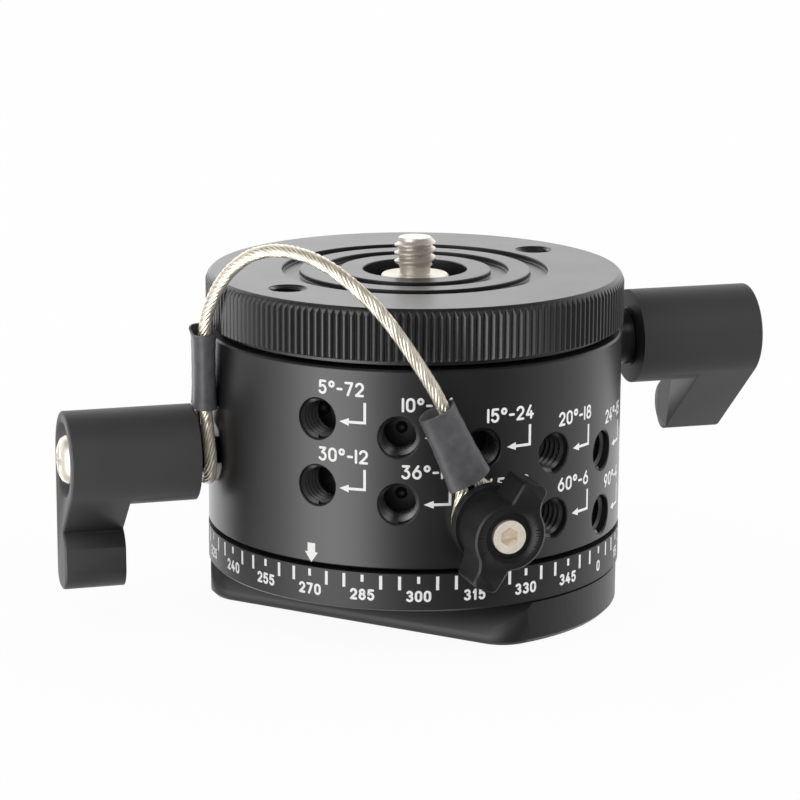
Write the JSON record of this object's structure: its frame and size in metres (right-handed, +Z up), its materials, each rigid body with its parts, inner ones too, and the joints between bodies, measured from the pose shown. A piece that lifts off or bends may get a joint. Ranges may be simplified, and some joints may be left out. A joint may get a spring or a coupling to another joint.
{
  "type": "panoramic tripod head",
  "caption": "Panoramic tripod head with click-stop index drum, turning housing, knurled platform with camera stud, clamp levers, tethered plunger and dovetail foot.",
  "frame": {"origin": "on the rotation axis, at the mouth of the tripod socket in the foot's bottom face", "axes": "+Z up along the rotation axis and out of the camera stud, +X along the dovetail foot towards the scale's 0 mark, +Y across the foot"},
  "size_m": [0.0878, 0.0931, 0.0596],
  "materials": {
    "black_anodised": "fine bead-blasted, black anodised, satin",
    "black_oxide_steel": "turned steel, black oxide",
    "stainless_steel": "turned stainless steel, bright",
    "steel_rope": "stranded stainless wire rope, bright",
    "ptfe": "smooth white PTFE",
    "bronze": "sintered bronze, oiled",
    "aluminium": "pressed bare aluminium",
    "heat_shrink": "shrunk polyolefin tube, satin dark grey"
  },
  "bodies": {
    "base": {"foot_plate": "black_anodised", "foot_screws": "black_oxide_steel", "dowel_pins": "stainless_steel", "spindle": "stainless_steel", "scale_ring": "black_anodised", "index_drum": "black_anodised", "lower_thrust_washer": "ptfe", "retaining_washer": "stainless_steel", "spindle_bolt": "black_oxide_steel"},
    "housing": {"housing": "black_anodised", "bearing_carrier": "black_anodised", "carrier_screws": "black_oxide_steel", "spindle_bush": "bronze", "platform_slip_ring": "ptfe", "ring_nut_slip_ring": "ptfe", "upper_lever_washers": "black_oxide_steel", "tether_rope": "steel_rope", "plunger_tether_eye": "steel_rope", "plunger_tether_ferrule": "aluminium", "plunger_tether_sleeve": "heat_shrink", "lever_tether_eye": "steel_rope", "lever_tether_ferrule": "aluminium", "lever_tether_sleeve": "heat_shrink"},
    "platform": {"platform": "black_anodised", "ring_nut": "black_anodised", "stud_plate": "black_anodised", "camera_stud": "stainless_steel"},
    "lower_brake": {"lower_brake_plug": "ptfe"},
    "lower_clamp": {"lower_lever_stud": "black_oxide_steel", "lower_lever_screw": "stainless_steel", "lower_lever_spring": "stainless_steel"},
    "lower_handle": {"lower_lever": "black_anodised"},
    "upper_brake": {"upper_brake_plug": "bronze"},
    "upper_clamp": {"upper_lever_stud": "black_oxide_steel", "upper_lever_screw": "stainless_steel", "upper_lever_spring": "stainless_steel"},
    "upper_handle": {"upper_lever": "black_anodised"},
    "plunger_thread": {"detent_spring": "stainless_steel"},
    "plunger": {"plunger_body": "black_oxide_steel", "plunger_knob": "black_anodised", "preload_screw": "stainless_steel"},
    "detent": {"detent_pin": "stainless_steel"}
  },
  "joints": [
    {"name": "housing_turn", "type": "hinge", "parent": "base", "child": "housing", "pos_m": [0, 0, 0.02], "axis": [0, 0, 1], "continuous": true},
    {"name": "platform_turn", "type": "hinge", "parent": "housing", "child": "platform", "pos_m": [0, 0, 0.04], "axis": [0, 0, 1], "continuous": true},
    {"name": "lower_clamp_travel", "type": "slide", "parent": "housing", "child": "lower_brake", "axis": [-0.7071, -0.7071, 0], "range_m": [-0.0002, 0.0000666]},
    {"name": "lower_clamp_turn", "type": "hinge", "parent": "lower_brake", "child": "lower_clamp", "pos_m": [-0.02828, -0.02828, 0.025], "axis": [-0.7071, -0.7071, 0], "range_deg": [-90.5, 30.5]},
    {"name": "lower_lever_lift", "type": "slide", "parent": "lower_clamp", "child": "lower_handle", "axis": [-0.7071, -0.7071, 0], "range_m": [0, 0.003], "stiffness_N_per_m": 800, "springref_m": -0.004, "deforming": ["lower_lever_spring"]},
    {"name": "upper_clamp_travel", "type": "slide", "parent": "housing", "child": "upper_brake", "axis": [0.7071, 0.7071, 0], "range_m": [-0.0002, 0.0000666]},
    {"name": "upper_clamp_turn", "type": "hinge", "parent": "upper_brake", "child": "upper_clamp", "pos_m": [0.02828, 0.02828, 0.03915], "axis": [0.7071, 0.7071, 0], "range_deg": [-90.5, 30.5]},
    {"name": "upper_lever_lift", "type": "slide", "parent": "upper_clamp", "child": "upper_handle", "axis": [0.7071, 0.7071, 0], "range_m": [0, 0.003], "stiffness_N_per_m": 800, "springref_m": -0.004, "deforming": ["upper_lever_spring"]},
    {"name": "plunger_travel", "type": "slide", "parent": "housing", "child": "plunger_thread", "axis": [0.7278, -0.6858, 0], "range_m": [-0.00075, 0.00525]},
    {"name": "plunger_turn", "type": "hinge", "parent": "plunger_thread", "child": "plunger", "pos_m": [0.02693, -0.02538, 0.02076], "axis": [0.7278, -0.6858, 0], "range_deg": [-272, 1892]},
    {"name": "detent_click", "type": "slide", "parent": "plunger_thread", "child": "detent", "axis": [0.7278, -0.6858, 0], "range_m": [0, 0.0008], "stiffness_N_per_m": 1000, "springref_m": -0.003, "deforming": ["detent_spring"]}
  ],
  "couplings": [
    {"joint": "lower_clamp_turn", "follows": "lower_clamp_travel", "rad_per_m": 7854},
    {"joint": "upper_clamp_turn", "follows": "upper_clamp_travel", "rad_per_m": 7854},
    {"joint": "plunger_turn", "follows": "plunger_travel", "rad_per_m": 6283.2}
  ]
}
